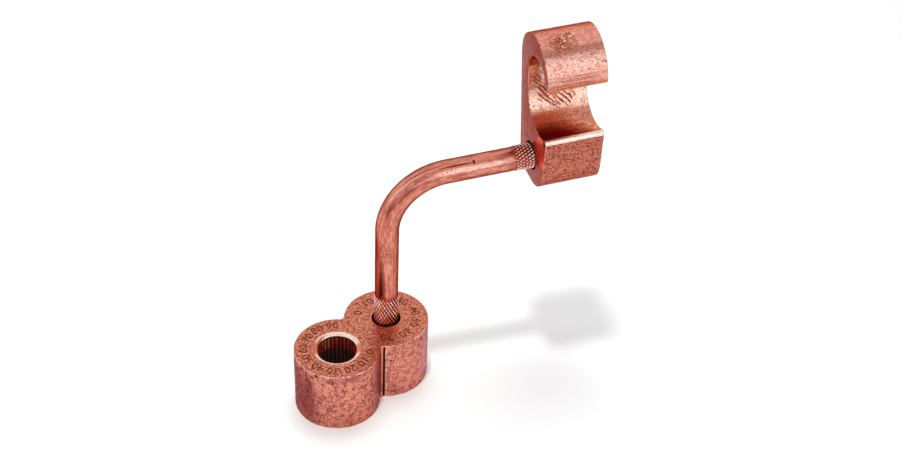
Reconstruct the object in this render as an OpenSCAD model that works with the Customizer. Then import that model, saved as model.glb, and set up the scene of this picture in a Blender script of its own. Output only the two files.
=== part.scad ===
// Compression connector: a ground-rod sleeve and a cable hook, joined by a bent rod with knurled ends.
// Millimetres. The origin is on the sleeve's bore axis, at its base, with +Z up the bore and +X along
// the rod's upper leg as seen from above.

/* [Rod sleeve] */
// Diameter of each of the two round lobes
lobe_d = 31.8; // [28:0.1:36]
// Distance between the two lobes' axes
lobe_pitch = 24.5; // [21:0.1:30]
// Turn of the lobes' line from the rod's upper leg, in degrees
lobe_turn = 28.2; // [0:0.1:90]
// Height of the sleeve
sleeve_h = 25.5; // [22:0.1:40]
// Diameter of the bore that the ground rod passes through
bore_d = 14.5; // [12:0.1:18]
// Width of the bore's chamfered mouth
bore_chamfer_w = 1.2; // [0.4:0.1:2]
// Depth of the bore's chamfered mouth
bore_chamfer_h = 0.8; // [0.4:0.1:2]
// Radius of the round at the bottom of each groove between the lobes
waist_r = 1.5; // [0.5:0.1:4]
// Size of the small flat that breaks each sharp rim of the lobes
rim_break = 0.4; // [0.2:0.1:0.8]

/* [Link rod] */
// Diameter of the plain rod
rod_d = 8.6; // [7:0.1:9.5]
// How far the knurl stands out from the plain rod
knurl_lift = 0.3; // [0.1:0.05:0.5]
// Length of knurl that shows above the sleeve
sleeve_knurl = 13; // [4:0.5:18]
// Length of knurl that shows beside the hook
hook_knurl = 8; // [4:0.5:16]
// Height of the crossing of the two legs' axes above the sleeve's top
leg_rise = 62.4; // [50:0.1:90]
// Distance from that crossing to the hook's near end face, along the upper leg
leg_run = 52.7; // [45:0.1:90]
// Climb of the upper leg above level, in degrees
leg_climb = 3; // [0:0.5:15]
// Radius of the bend, to the rod's axis
bend_r = 22.3; // [14:0.1:26]
// How much the rod swells round the bend
bend_swell = 0.03; // [0.02:0.01:0.1]

/* [Rod seats] */
// How deep the rod sits in the sleeve
sleeve_seat = 18; // [8:0.5:20]
// How deep the rod sits in the hook
hook_seat = 14; // [6:0.5:16]
// Gap all round between the knurl and its hole
seat_gap = 0.05; // [0.02:0.01:0.2]
// How far each hole's mouth flares beyond the hole
flare_w = 0.8; // [0.3:0.05:1.2]
// Depth of each hole's flared mouth
flare_h = 2; // [0.5:0.1:4]

/* [Hook tap] */
// Length of the hook along the rod
hook_w = 21.6; // [18:0.1:40]
// Distance from the rod's axis to the hook's flat back
hook_back = 11.3; // [8:0.1:14]
// Thickness of the back wall
hook_wall = 7.1; // [5:0.1:9]
// Distance from the rod's axis down to the hook's underside
hook_drop = 10.6; // [8:0.1:14]
// Distance from the rod's axis to the block's front, at the axis
block_front = 12.6; // [11:0.1:18]
// Lean of the block's front face, outward going up, in degrees
front_lean = 8; // [0:0.5:15]
// Radius of the block's lower front edge
toe_r = 11.2; // [4:0.1:12]
// Radius of the block's upper front edge
brow_r = 1.3; // [0.6:0.1:2.5]
// Radius of the channel's hollow floor
floor_r = 11.8; // [9:0.1:13]
// Height of the lowest line of that floor above the rod's axis
floor_rise = 13.9; // [12:0.1:18]
// Radius of the channel under the arch
throat_r = 9; // [8:0.1:11]
// Height of the arch's inner axis above the rod's axis
throat_rise = 33.8; // [30:0.1:38]
// Thickness of the arch at its top
crown_t = 7.5; // [4:0.1:10]
// Thickness of the arch at its front, where it is thinnest
lip_t = 1.3; // [0.8:0.1:5]
// Height of the lip's end above the arch's inner axis
lip_end = 2.2; // [0.5:0.1:6]

/* [Hidden] */
$fn = 96;
// Overrun of a cutting shape past the face that it cuts
over = 1;
// How far each straight leg runs on inside the swollen bend
leg_overlap = 0.5;
// How far a face sits inside the round that it meets
tuck = 0.002;

lobe_r = lobe_d / 2;
groove_out = sqrt((lobe_r + waist_r) ^ 2 - (lobe_pitch / 2) ^ 2);
rod_r = rod_d / 2;
knurl_r = rod_r + knurl_lift;
hole_r = knurl_r + seat_gap;
rod_foot = lobe_pitch * [cos(lobe_turn), sin(lobe_turn)];
crossing = [rod_foot.x, rod_foot.y, sleeve_h + leg_rise];
leg_way = [cos(leg_climb), 0, sin(leg_climb)];
hook_face = crossing + leg_run * leg_way;
bend_turn = 90 - leg_climb;
bend_reach = bend_r * tan(bend_turn / 2);

// The hook's end face as seen from the rod: across towards the front, and up from the rod's axis.
wall_in = hook_wall - hook_back;
floor_c = [wall_in + floor_r, floor_rise + floor_r];
throat_c = [wall_in + throat_r, throat_rise];
arch_r = (hook_wall + 2 * throat_r + lip_t) / 2;
arch_c = [arch_r - hook_back, throat_rise + throat_r + crown_t - arch_r];
lip_rise = throat_rise + lip_end;
front_out = [cos(front_lean), -sin(front_lean)];
toe_c = [front_at(toe_r - hook_drop) - toe_r / cos(front_lean), toe_r - hook_drop];
brow_c = brow_centre();

// Where the block's front face is at a height above the rod's axis
function front_at(up) = block_front + up * tan(front_lean);

// The upper front edge's centre, which lies inside the front face and outside the round floor
function brow_centre() =
    let (slope = tan(front_lean),
         start = block_front - brow_r / cos(front_lean) - floor_c.x,
         reach = floor_r + brow_r,
         a = 1 + slope ^ 2,
         b = start * slope - floor_c.y,
         c = start ^ 2 + floor_c.y ^ 2 - reach ^ 2,
         up = (-b - sqrt(b ^ 2 - a * c)) / a)
    [start + slope * up + floor_c.x, up];

// Stands its children on the rod's foot, at the sleeve's top
module at_foot() {
    translate([rod_foot.x, rod_foot.y, sleeve_h]) children();
}

// Lays its children on the hook's near end face: X to the front, Y up, Z back along the rod
module at_hook() {
    translate(hook_face) rotate([0, -leg_climb, 0]) rotate([90, 0, -90]) children();
}

// A blind hole for the rod's end, cut down from the origin, with a flared mouth
module rod_seat(depth) {
    translate([0, 0, -depth]) cylinder(h = depth + over, r = hole_r);
    translate([0, 0, -flare_h]) cylinder(h = flare_h, r1 = hole_r, r2 = hole_r + flare_w);
}

// The rod's end with its knurl band, which runs out onto the plain rod
module knurl_band(depth, shown) {
    translate([0, 0, -depth]) cylinder(h = depth + shown, r = knurl_r);
    translate([0, 0, shown]) cylinder(h = knurl_lift, r1 = knurl_r, r2 = rod_r);
}

// A plain length of rod, from the seat's floor to just inside the bend
module straight_leg(depth, to_crossing) {
    translate([0, 0, -depth]) cylinder(h = depth + to_crossing - bend_reach + leg_overlap, r = rod_r);
}

// One lobe of the sleeve, with both rims broken
module lobe() {
    rotate_extrude()
        polygon([[0, 0], [lobe_r - rim_break, 0], [lobe_r, rim_break],
                 [lobe_r, sleeve_h - rim_break], [lobe_r - rim_break, sleeve_h], [0, sleeve_h]]);
}

// The web between the lobes, rounded at the bottom of each groove, which stops short of both rim breaks
module waist() {
    middle = lobe_pitch / 2;
    short = 2 * rim_break;
    rotate([0, 0, lobe_turn]) translate([0, 0, short]) linear_extrude(sleeve_h - 2 * short)
        difference() {
            polygon([[0, 0], [middle, -groove_out], [lobe_pitch, 0], [middle, groove_out]]);
            for (side = [-1, 1])
                translate([middle, side * groove_out]) circle(r = waist_r + tuck);
        }
}

module rod_sleeve() {
    color("indianred") difference() {
        union() {
            lobe();
            translate(rod_foot) lobe();
            waist();
        }
        translate([0, 0, -over]) cylinder(h = sleeve_h + 2 * over, d = bore_d);
        translate([0, 0, sleeve_h - bore_chamfer_h])
            cylinder(h = bore_chamfer_h, r1 = bore_d / 2, r2 = bore_d / 2 + bore_chamfer_w);
        at_foot() rod_seat(sleeve_seat);
    }
}

module link_rod() {
    color("darksalmon") {
        at_foot() {
            straight_leg(sleeve_seat, leg_rise);
            knurl_band(sleeve_seat, sleeve_knurl);
        }
        translate([crossing.x + bend_r, crossing.y, crossing.z - bend_reach])
            rotate([90, 0, 180]) rotate_extrude(angle = bend_turn)
                translate([bend_r, 0]) circle(r = rod_r + bend_swell);
        at_hook() {
            straight_leg(hook_seat, leg_run);
            knurl_band(hook_seat, hook_knurl);
        }
    }
}

// The block that the rod enters, hollowed along its top, up to the middle of the floor's round
module block_section() {
    difference() {
        polygon([[-hook_back, -hook_drop], [toe_c.x, -hook_drop], toe_c,
                 toe_c + (toe_r - tuck) * front_out, brow_c + (brow_r - tuck) * front_out,
                 brow_c, floor_c, [-hook_back, floor_c.y]]);
        translate(floor_c) circle(r = floor_r);
    }
    translate(toe_c) circle(r = toe_r);
    translate(brow_c) circle(r = brow_r);
}

// The back wall and the arch over the channel, ending in the lip
module arch_section() {
    far = arch_c.x + arch_r + over;
    difference() {
        union() {
            translate([-hook_back, floor_c.y]) square([arch_r, arch_c.y - floor_c.y]);
            translate(arch_c) circle(r = arch_r);
        }
        translate(throat_c) circle(r = throat_r);
        polygon([[wall_in, floor_c.y - arch_r], [far, floor_c.y - arch_r], [far, lip_rise],
                 [throat_c.x, lip_rise], throat_c, [wall_in, throat_c.y]]);
    }
}

module hook_tap() {
    color("rosybrown") at_hook() difference() {
        translate([0, 0, -hook_w]) linear_extrude(hook_w) {
            block_section();
            arch_section();
        }
        rod_seat(hook_seat);
    }
}

rod_sleeve();
link_rod();
hook_tap();
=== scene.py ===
"""Looks of the copper compression connector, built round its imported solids.

Metres, in the frame of the solids: the origin is on the sleeve's bore axis, at its base, with +Z up the
bore and +X along the link rod's upper leg as seen from above.
"""

from __future__ import annotations

import logging
import math
import random
from dataclasses import dataclass
from enum import Enum
from typing import Callable, Iterable, Sequence

import bpy
from mathutils import Matrix, Vector

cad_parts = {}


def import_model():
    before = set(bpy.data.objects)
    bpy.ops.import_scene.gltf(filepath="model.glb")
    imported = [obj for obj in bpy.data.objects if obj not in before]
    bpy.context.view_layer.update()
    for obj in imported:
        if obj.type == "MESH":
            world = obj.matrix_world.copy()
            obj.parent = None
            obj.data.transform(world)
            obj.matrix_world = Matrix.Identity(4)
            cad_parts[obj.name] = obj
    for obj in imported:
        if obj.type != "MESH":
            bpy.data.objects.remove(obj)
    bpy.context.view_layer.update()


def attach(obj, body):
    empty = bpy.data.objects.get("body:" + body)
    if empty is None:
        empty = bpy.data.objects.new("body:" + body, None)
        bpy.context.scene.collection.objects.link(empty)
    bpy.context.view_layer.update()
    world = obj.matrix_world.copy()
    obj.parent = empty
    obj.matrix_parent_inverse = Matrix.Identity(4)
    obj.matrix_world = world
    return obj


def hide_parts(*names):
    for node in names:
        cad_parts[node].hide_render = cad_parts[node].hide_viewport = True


LOG = logging.getLogger("connector")
MM = 0.001
WELD = 1e-6
CHART = "lay"
ORIGIN = Vector((0.0, 0.0, 0.0))
UP = Vector((0.0, 0.0, 1.0))
# Cosines that tell ways that are square or slanted to each other from ways that run together
SQUARE_UNDER = 0.1
SLANT_UNDER = 0.5
ALONG_OVER = 0.9
# A scratch's width at its ends, as a share of its middle, and how soon it swells
THREAD_TIP = 0.35
THREAD_SWELL = 0.6
# How deep the fine relief of a finish is, and what the dull places of a stain or of a painted highlight
# or shade keep of its colour
BUMP_DEPTH = 0.12 * MM
STAIN_AND_LIGHT_DEEP = 0.5
# The plain rod's radius in millimetres, and the number of sides of its holes
ROD_R = 4.3
SEAT_SIDES = 72

Point = tuple[float, float]
Spot = tuple[float, float, float]
Colour = tuple[float, float, float]
Screen = tuple[int, int, int]
PlaceTest = Callable[[Vector, Vector], bool]
Obj = bpy.types.Object
Material = bpy.types.Material
Tree = bpy.types.NodeTree
Socket = bpy.types.NodeSocket


class Pick(Enum):
    """What a selection takes, as Blender's three select-mode switches."""

    VERT = (True, False, False)
    EDGE = (False, True, False)
    FACE = (False, False, True)


class Cut(Enum):
    """What a tool does to a body, as Blender's boolean operations."""

    TAKE = "DIFFERENCE"
    ADD = "UNION"
    SHARE = "INTERSECT"


class Piece(Enum):
    """The pieces of the connector, by their nodes in the frame."""

    SLEEVE = "rod_sleeve"
    ROD = "link_rod"
    HOOK = "hook_tap"


# Tools of the bench


def shade(colour: Screen) -> Colour:
    """Turns a screen colour of 0 to 255 into the linear one that shaders take, by the sRGB curve.

    Args:
        colour: Red, green and blue on the screen.

    Returns:
        The linear colour.
    """
    parts = []
    for value in colour:
        part = value / 255
        parts.append(part / 12.92 if part <= 0.04045 else ((part + 0.055) / 1.055) ** 2.4)
    return (parts[0], parts[1], parts[2])


def metres(spot: Spot) -> Spot:
    """Turns a place in millimetres into one in metres."""
    return (spot[0] * MM, spot[1] * MM, spot[2] * MM)


def shares(steps: int) -> list[float]:
    """Gives the even shares of a way, from 0 to 1."""
    return [step / steps for step in range(steps + 1)]


def between(start: Point, end: Point, share: float) -> Point:
    """Gives the point at a share of the way from one point to another."""
    return (start[0] + (end[0] - start[0]) * share, start[1] + (end[1] - start[1]) * share)


def clear_bench() -> None:
    """Goes back to object mode with nothing selected."""
    if bpy.context.object and bpy.context.object.mode != "OBJECT":
        bpy.ops.object.mode_set(mode="OBJECT")
    bpy.ops.object.select_all(action="DESELECT")


def make_active(obj: Obj) -> None:
    """Leaves one object selected and active, in object mode.

    Args:
        obj: The object to work on next.
    """
    clear_bench()
    obj.select_set(True)
    bpy.context.view_layer.objects.active = obj


def smooth(obj: Obj, degrees: float) -> None:
    """Shades a mesh smooth wherever its faces meet at less than an angle."""
    make_active(obj)
    bpy.ops.object.shade_smooth_by_angle(angle=math.radians(degrees))


def pick(obj: Obj, kind: Pick, test: PlaceTest) -> int:
    """Selects the vertices, edges or faces whose place passes a test, and goes into edit mode.

    Args:
        obj: The mesh object.
        kind: What to select.
        test: Takes a place, and a normal or an edge's direction.

    Returns:
        How many were selected.
    """
    make_active(obj)
    mesh = obj.data
    for items in (mesh.vertices, mesh.edges, mesh.polygons):
        items.foreach_set("select", [False] * len(items))
    if kind is Pick.VERT:
        flags = [test(v.co, v.normal) for v in mesh.vertices]
        mesh.vertices.foreach_set("select", flags)
    elif kind is Pick.EDGE:
        flags = []
        for edge in mesh.edges:
            start, end = (mesh.vertices[i].co for i in edge.vertices)
            flags.append(test((start + end) / 2, (end - start).normalized()))
        mesh.edges.foreach_set("select", flags)
    else:
        flags = [test(p.center, p.normal) for p in mesh.polygons]
        mesh.polygons.foreach_set("select", flags)
    bpy.context.tool_settings.mesh_select_mode = kind.value
    bpy.ops.object.mode_set(mode="EDIT")
    return sum(flags)


def tooth(obj: Obj, teeth: int, share: float) -> None:
    """Gives a round its teeth by drawing every second corner in, and stays in edit mode.

    Args:
        obj: The round, centred on the upright axis, with two corners for each tooth.
        teeth: How many teeth it gets.
        share: What the drawn corners keep of their radius.
    """
    step = math.pi / teeth
    pick(obj, Pick.VERT, lambda place, way: round(math.atan2(place.y, place.x) / step) % 2 == 1)
    bpy.ops.transform.resize(value=(share, share, 1.0), center_override=(0, 0, 0))


def close_up(obj: Obj, outwards: bool = True) -> None:
    """Welds doubled vertices, and turns every face outwards.

    Args:
        obj: The mesh object.
        outwards: Whether the faces are turned.
    """
    make_active(obj)
    bpy.ops.object.mode_set(mode="EDIT")
    bpy.ops.mesh.select_all(action="SELECT")
    bpy.ops.mesh.remove_doubles(threshold=WELD)
    if outwards:
        bpy.ops.mesh.normals_make_consistent(inside=False)
    bpy.ops.object.mode_set(mode="OBJECT")


def extrude(way: Vector) -> None:
    """Pushes what is selected out by a way, and leaves the new end selected."""
    bpy.ops.mesh.extrude_region_move(TRANSFORM_OT_translate={"value": way})


def set_down(obj: Obj, matrix: Matrix) -> None:
    """Moves an object by a matrix and puts the move into its mesh.

    Args:
        obj: The mesh object, at the origin.
        matrix: Where it goes.
    """
    make_active(obj)
    obj.matrix_world = matrix
    bpy.ops.object.transform_apply(location=True, rotation=True, scale=True)


def join(objects: Sequence[Obj], name: str) -> Obj:
    """Joins objects into one mesh.

    Args:
        objects: The objects, all of them meshes.
        name: The name of the result.

    Returns:
        The joined object.
    """
    make_active(objects[0])
    for obj in objects:
        obj.select_set(True)
    bpy.ops.object.join()
    objects[0].name = name
    return objects[0]


def carve(body: Obj, tool: Obj, cut: Cut = Cut.TAKE, crossing: bool = False) -> None:
    """Cuts a tool out of a body, or adds it, and keeps the tool's finish on the new faces.

    Args:
        body: The object that stays.
        tool: The object that is used up.
        cut: What the tool does.
        crossing: Whether the tool's own shells cross each other.
    """
    make_active(body)
    modifier = body.modifiers.new("carve", "BOOLEAN")
    modifier.operation = cut.value
    modifier.solver = "EXACT"
    modifier.object = tool
    modifier.material_mode = "TRANSFER"
    modifier.use_self = crossing
    modifier.use_hole_tolerant = crossing
    bpy.ops.object.modifier_apply(modifier=modifier.name)
    bpy.data.objects.remove(tool, do_unlink=True)
    close_up(body, outwards=False)


def roughen(obj: Obj, test: PlaceTest, height: float, grain: float) -> None:
    """Gives part of a surface the slight waves of worked metal.

    Args:
        obj: The mesh object.
        test: Which vertices move, by place and normal.
        height: How far they move at most, both ways together.
        grain: The size of a wave.
    """
    make_active(obj)
    group = obj.vertex_groups.new(name="waves")
    group.add([v.index for v in obj.data.vertices if test(v.co, v.normal)], 1.0, "REPLACE")
    texture = bpy.data.textures.new("waves", "CLOUDS")
    texture.noise_scale = grain
    texture.noise_depth = 2
    modifier = obj.modifiers.new("waves", "DISPLACE")
    modifier.texture = texture
    modifier.texture_coords = "LOCAL"
    modifier.vertex_group = group.name
    modifier.strength = height
    # The waves only go inwards, so the piece stays inside its solid
    modifier.mid_level = 1.0
    bpy.ops.object.modifier_apply(modifier=modifier.name)
    obj.vertex_groups.clear()


def gouges(name: str, paths: Iterable[Sequence[Vector]], width: float, finish: Material) -> Obj:
    """Makes a tool of thin tapered threads that scratch a surface where they run along it.

    Args:
        name: The tool's name.
        paths: The points of each scratch.
        width: The thickness of a thread at its middle.
        finish: What the scratches look like inside.

    Returns:
        The tool, as one mesh.
    """
    curve = bpy.data.curves.new(name, "CURVE")
    curve.dimensions = "3D"
    curve.bevel_depth = width / 2
    curve.bevel_resolution = 1
    curve.use_fill_caps = True
    for path in paths:
        last = len(path) - 1
        spline = curve.splines.new("POLY")
        spline.points.add(last)
        for index, place in enumerate(path):
            swell = math.sin(math.pi * index / last) ** THREAD_SWELL
            spline.points[index].co = (*place, 1.0)
            spline.points[index].radius = THREAD_TIP + (1 - THREAD_TIP) * swell
    obj = bpy.data.objects.new(name, curve)
    bpy.context.scene.collection.objects.link(obj)
    make_active(obj)
    bpy.ops.object.convert(target="MESH")
    obj = bpy.context.object
    close_up(obj)
    obj.data.materials.clear()
    obj.data.materials.append(finish)
    return obj


@dataclass(frozen=True)
class Plane:
    """A drawing board: where it lies and which way its two axes run."""

    origin: Vector
    across: Vector
    up: Vector

    @property
    def normal(self) -> Vector:
        """The way the board faces."""
        return self.across.cross(self.up)

    def at(self, a: float, b: float, lift: float = 0.0) -> Vector:
        """The point in space at a place on the board, or over it."""
        return self.origin + a * self.across + b * self.up + lift * self.normal

    def read(self, place: Vector) -> Point:
        """The place on the board under a point in space."""
        way = place - self.origin
        return (way.dot(self.across), way.dot(self.up))


SIDE_BOARD = Plane(ORIGIN, Vector((1.0, 0.0, 0.0)), UP)


class Pen:
    """Draws an outline on a plane, stroke by stroke, and makes a solid of it."""

    def __init__(self, name: str, plane: Plane, start: Point) -> None:
        """Sets the pen down.

        Args:
            name: The name of the object that is drawn.
            plane: The board to draw on.
            start: The first point.
        """
        self.plane = plane
        self.tip = start
        clear_bench()
        bpy.ops.mesh.primitive_plane_add(size=MM, location=(0, 0, 0))
        self.obj = bpy.context.object
        self.obj.name = name
        bpy.context.tool_settings.mesh_select_mode = Pick.VERT.value
        bpy.ops.object.mode_set(mode="EDIT")
        bpy.ops.mesh.select_all(action="SELECT")
        bpy.ops.mesh.merge(type="CENTER")
        bpy.ops.transform.translate(value=plane.at(*start))

    def line(self, to: Point, parts: int = 1) -> Pen:
        """Draws a straight stroke.

        Args:
            to: Where it ends.
            parts: How many edges it is made of.

        Returns:
            The pen, at the stroke's end.
        """
        step = (self.plane.at(*to) - self.plane.at(*self.tip)) / parts
        for _ in range(parts):
            extrude(step)
        self.tip = to
        return self

    def arc(self, centre: Point, sweep: float, grain: float) -> Pen:
        """Draws a round stroke.

        Args:
            centre: The centre of the round.
            sweep: The angle it turns by, in radians, anticlockwise if positive.
            grain: The length of an edge.

        Returns:
            The pen, at the stroke's end.
        """
        radius = math.dist(centre, self.tip)
        steps = max(2, round(abs(sweep) * radius / grain))
        bpy.ops.mesh.spin(
            steps=steps, angle=-sweep, center=self.plane.at(*centre), axis=self.plane.normal
        )
        end = math.atan2(self.tip[1] - centre[1], self.tip[0] - centre[0]) + sweep
        self.tip = (centre[0] + radius * math.cos(end), centre[1] + radius * math.sin(end))
        return self

    def push(self, depth: Vector) -> Obj:
        """Closes and fills the outline and pushes it out into a solid.

        Args:
            depth: How far, and which way.

        Returns:
            The solid.
        """
        bpy.ops.mesh.select_all(action="SELECT")
        bpy.ops.mesh.remove_doubles(threshold=WELD)
        bpy.ops.mesh.edge_face_add()
        extrude(depth)
        close_up(self.obj)
        return self.obj

    def lathe(self, sides: int) -> Obj:
        """Turns the outline round the upright axis through the origin, which both its ends lie on.

        Args:
            sides: How many sides the turned solid has.

        Returns:
            The solid.
        """
        bpy.ops.mesh.select_all(action="SELECT")
        bpy.ops.mesh.spin(steps=sides, angle=math.tau, center=ORIGIN, axis=UP)
        close_up(self.obj)
        return self.obj


# Shader effects and finishes


class Wiring:
    """Adds nodes to a shader tree and joins them up."""

    def __init__(self, tree: Tree) -> None:
        """Takes the tree to work on."""
        self.tree = tree

    def feed(self, socket: Socket, value: object) -> None:
        """Links a socket, or sets its own value.

        Args:
            socket: The input to feed.
            value: Another node's output, a number, a vector or a colour.
        """
        if isinstance(value, Socket):
            self.tree.links.new(value, socket)
        elif socket.type == "RGBA":
            socket.default_value = (*value[:3], 1.0)
        else:
            socket.default_value = value

    def node(
        self, kind: str, inputs: dict[str | int, object] | None = None, **settings: object
    ) -> bpy.types.Node:
        """Adds a node.

        Args:
            kind: The node's type.
            inputs: What feeds its sockets, by name or number.
            **settings: The node's own settings.

        Returns:
            The node.
        """
        made = self.tree.nodes.new(kind)
        for key, value in settings.items():
            setattr(made, key, value)
        for key, value in (inputs or {}).items():
            self.feed(made.inputs[key], value)
        return made

    def group(self, tree: Tree, **inputs: object) -> bpy.types.Node:
        """Places a node group and feeds its named inputs."""
        return self.node("ShaderNodeGroup", inputs, node_tree=tree)

    def mix(self, share: object, first: object, second: object) -> Socket:
        """Mixes two colours, with a share of the second."""
        made = self.node("ShaderNodeMix", {0: share, 6: first, 7: second}, data_type="RGBA")
        return made.outputs[2]

    def maths(self, operation: str, first: object, second: object = 0.0) -> Socket:
        """Works out one value from two."""
        return self.node("ShaderNodeMath", {0: first, 1: second}, operation=operation).outputs[0]

    def vector(self, operation: str, first: object, second: object) -> Socket:
        """Works out one vector from two."""
        return self.node("ShaderNodeVectorMath", {0: first, 1: second}, operation=operation).outputs[0]

    def length(self, value: object) -> Socket:
        """Measures a vector."""
        return self.node("ShaderNodeVectorMath", {0: value}, operation="LENGTH").outputs["Value"]

    def ease(
        self, value: object, low: object, high: object, start: object = 0.0, end: object = 1.0
    ) -> Socket:
        """Maps a value from one range to another with soft ends.

        Args:
            value: What is mapped.
            low: The value that gives the start.
            high: The value that gives the end.
            start: The result at the low value.
            end: The result at the high value.

        Returns:
            The mapped value.
        """
        made = self.node(
            "ShaderNodeMapRange",
            {"Value": value, "From Min": low, "From Max": high, "To Min": start, "To Max": end},
            interpolation_type="SMOOTHSTEP",
        )
        return made.outputs[0]

    def noise(self, place: object, scale: object, detail: float, rough: float) -> Socket:
        """Adds a noise pattern and gives its value.

        Args:
            place: The coordinates.
            scale: Features to the metre.
            detail: How many finer layers it has.
            rough: How strong the finer layers are.

        Returns:
            The pattern's value.
        """
        made = self.node(
            "ShaderNodeTexNoise", {"Vector": place, "Scale": scale, "Detail": detail, "Roughness": rough}
        )
        return made.outputs[0]


class Effects:
    """The shader groups that the finishes share, each built once, and the materials made with them."""

    def __init__(self) -> None:
        """Builds the groups."""
        self.made: dict[str, Material] = {}
        self.patina = self.build_patina()
        self.lines = self.build_lines()
        self.pits = self.build_pits()
        self.stain = self.build_stain()
        self.crest = self.build_crest()

    def material(self, finish: Copper) -> Material:
        """Gives the material of a finish, made at its first use.

        Args:
            finish: The finish.

        Returns:
            Its material.
        """
        if finish.name not in self.made:
            self.made[finish.name] = finish.build(self)
        return self.made[finish.name]

    def dress(self, obj: Obj, *finishes: Copper) -> None:
        """Gives a mesh its material slots, one for each finish.

        Args:
            obj: The mesh object.
            *finishes: The finishes, in the order of the slots.
        """
        obj.data.materials.clear()
        for finish in finishes:
            obj.data.materials.append(self.material(finish))

    @staticmethod
    def new_group(
        name: str, inputs: dict[str, str], outputs: dict[str, str]
    ) -> tuple[Tree, Wiring, dict[str, Socket], bpy.types.Node]:
        """Starts a node group with named sockets.

        Args:
            name: The group's name.
            inputs: Socket type by input name.
            outputs: Socket type by output name.

        Returns:
            The group, its wiring, its inputs by name, and its output node.
        """
        tree = bpy.data.node_groups.new(name, "ShaderNodeTree")
        for key, kind in inputs.items():
            tree.interface.new_socket(key, in_out="INPUT", socket_type=f"NodeSocket{kind}")
        for key, kind in outputs.items():
            tree.interface.new_socket(key, in_out="OUTPUT", socket_type=f"NodeSocket{kind}")
        wiring = Wiring(tree)
        entry = wiring.node("NodeGroupInput")
        leave = wiring.node("NodeGroupOutput")
        return tree, wiring, {key: entry.outputs[key] for key in inputs}, leave

    def build_patina(self) -> Tree:
        """Builds the mottled tarnish of handled copper.

        Returns:
            The group, which gives a colour, a mask of the dull places and a height.
        """
        tree, wiring, given, leave = self.new_group(
            "copper patina",
            {
                "Place": "Vector",
                "Blotch": "Float",
                "Grain": "Float",
                "Bright": "Color",
                "Plain": "Color",
                "Dull": "Color",
                "Dulling": "Float",
            },
            {"Colour": "Color", "Dullness": "Float", "Height": "Float"},
        )
        blotch_share = 0.6
        blotch = wiring.noise(given["Place"], given["Blotch"], detail=4.0, rough=0.62)
        grain = wiring.noise(given["Place"], given["Grain"], detail=2.0, rough=0.7)
        flecks = wiring.ease(grain, low=0.40, high=0.64)
        flecked = wiring.mix(flecks, given["Plain"], given["Bright"])
        broad = wiring.maths("MULTIPLY", blotch, blotch_share)
        both = wiring.maths("ADD", broad, wiring.maths("MULTIPLY", grain, 1 - blotch_share))
        dullness = wiring.maths("MULTIPLY", wiring.ease(both, low=0.54, high=0.42), given["Dulling"])
        wiring.feed(leave.inputs["Colour"], wiring.mix(dullness, flecked, given["Dull"]))
        wiring.feed(leave.inputs["Dullness"], dullness)
        wiring.feed(leave.inputs["Height"], both)
        return tree

    def build_lines(self) -> Tree:
        """Builds the fine lines that a saw, a die or a broach leaves.

        Returns:
            The group, which gives a mask of the lines.
        """
        tree, wiring, given, leave = self.new_group(
            "tool lines", {"Place": "Vector", "Stretch": "Vector", "Cover": "Float"}, {"Lines": "Float"}
        )
        drawn = wiring.vector("MULTIPLY", given["Place"], given["Stretch"])
        streak = wiring.ease(wiring.noise(drawn, 1.0, detail=3.0, rough=0.7), low=0.45, high=0.68)
        wiring.feed(leave.inputs["Lines"], wiring.maths("MULTIPLY", streak, given["Cover"]))
        return tree

    def build_pits(self) -> Tree:
        """Builds small dark pits, here and there.

        Returns:
            The group, which gives a mask of the pits.
        """
        tree, wiring, given, leave = self.new_group(
            "pits", {"Place": "Vector", "Scale": "Float", "Cover": "Float"}, {"Pits": "Float"}
        )
        warp = wiring.node("ShaderNodeTexNoise", {"Vector": given["Place"], "Scale": 1400.0})
        shift = wiring.vector("MULTIPLY", warp.outputs["Color"], metres((1.2, 1.2, 1.2)))
        bent = wiring.vector("ADD", given["Place"], shift)
        cells = wiring.node("ShaderNodeTexVoronoi", {"Vector": bent, "Scale": given["Scale"]})
        chance = wiring.node("ShaderNodeSeparateColor", {0: cells.outputs["Color"]}).outputs[0]
        sure = wiring.maths("SUBTRACT", given["Cover"], 0.05)
        chosen = wiring.ease(chance, low=given["Cover"], high=sure)
        spot = wiring.ease(cells.outputs["Distance"], low=0.45, high=0.12)
        wiring.feed(leave.inputs["Pits"], wiring.maths("MULTIPLY", chosen, spot))
        return tree

    def build_stain(self) -> Tree:
        """Builds one ragged patch at a place on a piece.

        Returns:
            The group, which gives a mask of the patch.
        """
        tree, wiring, given, leave = self.new_group(
            "stain",
            {
                "Place": "Vector",
                "Centre": "Vector",
                "Spread": "Vector",
                "Ragged": "Float",
                "Core": "Float",
            },
            {"Stain": "Float"},
        )
        offset = wiring.vector("SUBTRACT", given["Place"], given["Centre"])
        reach = wiring.length(wiring.vector("DIVIDE", offset, given["Spread"]))
        rough = wiring.noise(given["Place"], 900.0, detail=3.0, rough=0.65)
        tear = wiring.maths("SUBTRACT", rough, 0.5)
        ragged = wiring.maths("ADD", reach, wiring.maths("MULTIPLY", tear, given["Ragged"]))
        wiring.feed(leave.inputs["Stain"], wiring.ease(ragged, low=1.0, high=given["Core"]))
        return tree

    def build_crest(self) -> Tree:
        """Builds the difference between a knurl's worn crests and its dirty grooves.

        Returns:
            The group, which gives a mask of the crests.
        """
        tree, wiring, given, leave = self.new_group(
            "crest", {"Place": "Vector", "Low": "Float", "High": "Float"}, {"Crest": "Float"}
        )
        flat = wiring.vector("MULTIPLY", given["Place"], (1.0, 1.0, 0.0))
        crest = wiring.ease(wiring.length(flat), given["Low"], given["High"])
        wiring.feed(leave.inputs["Crest"], crest)
        return tree


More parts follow.
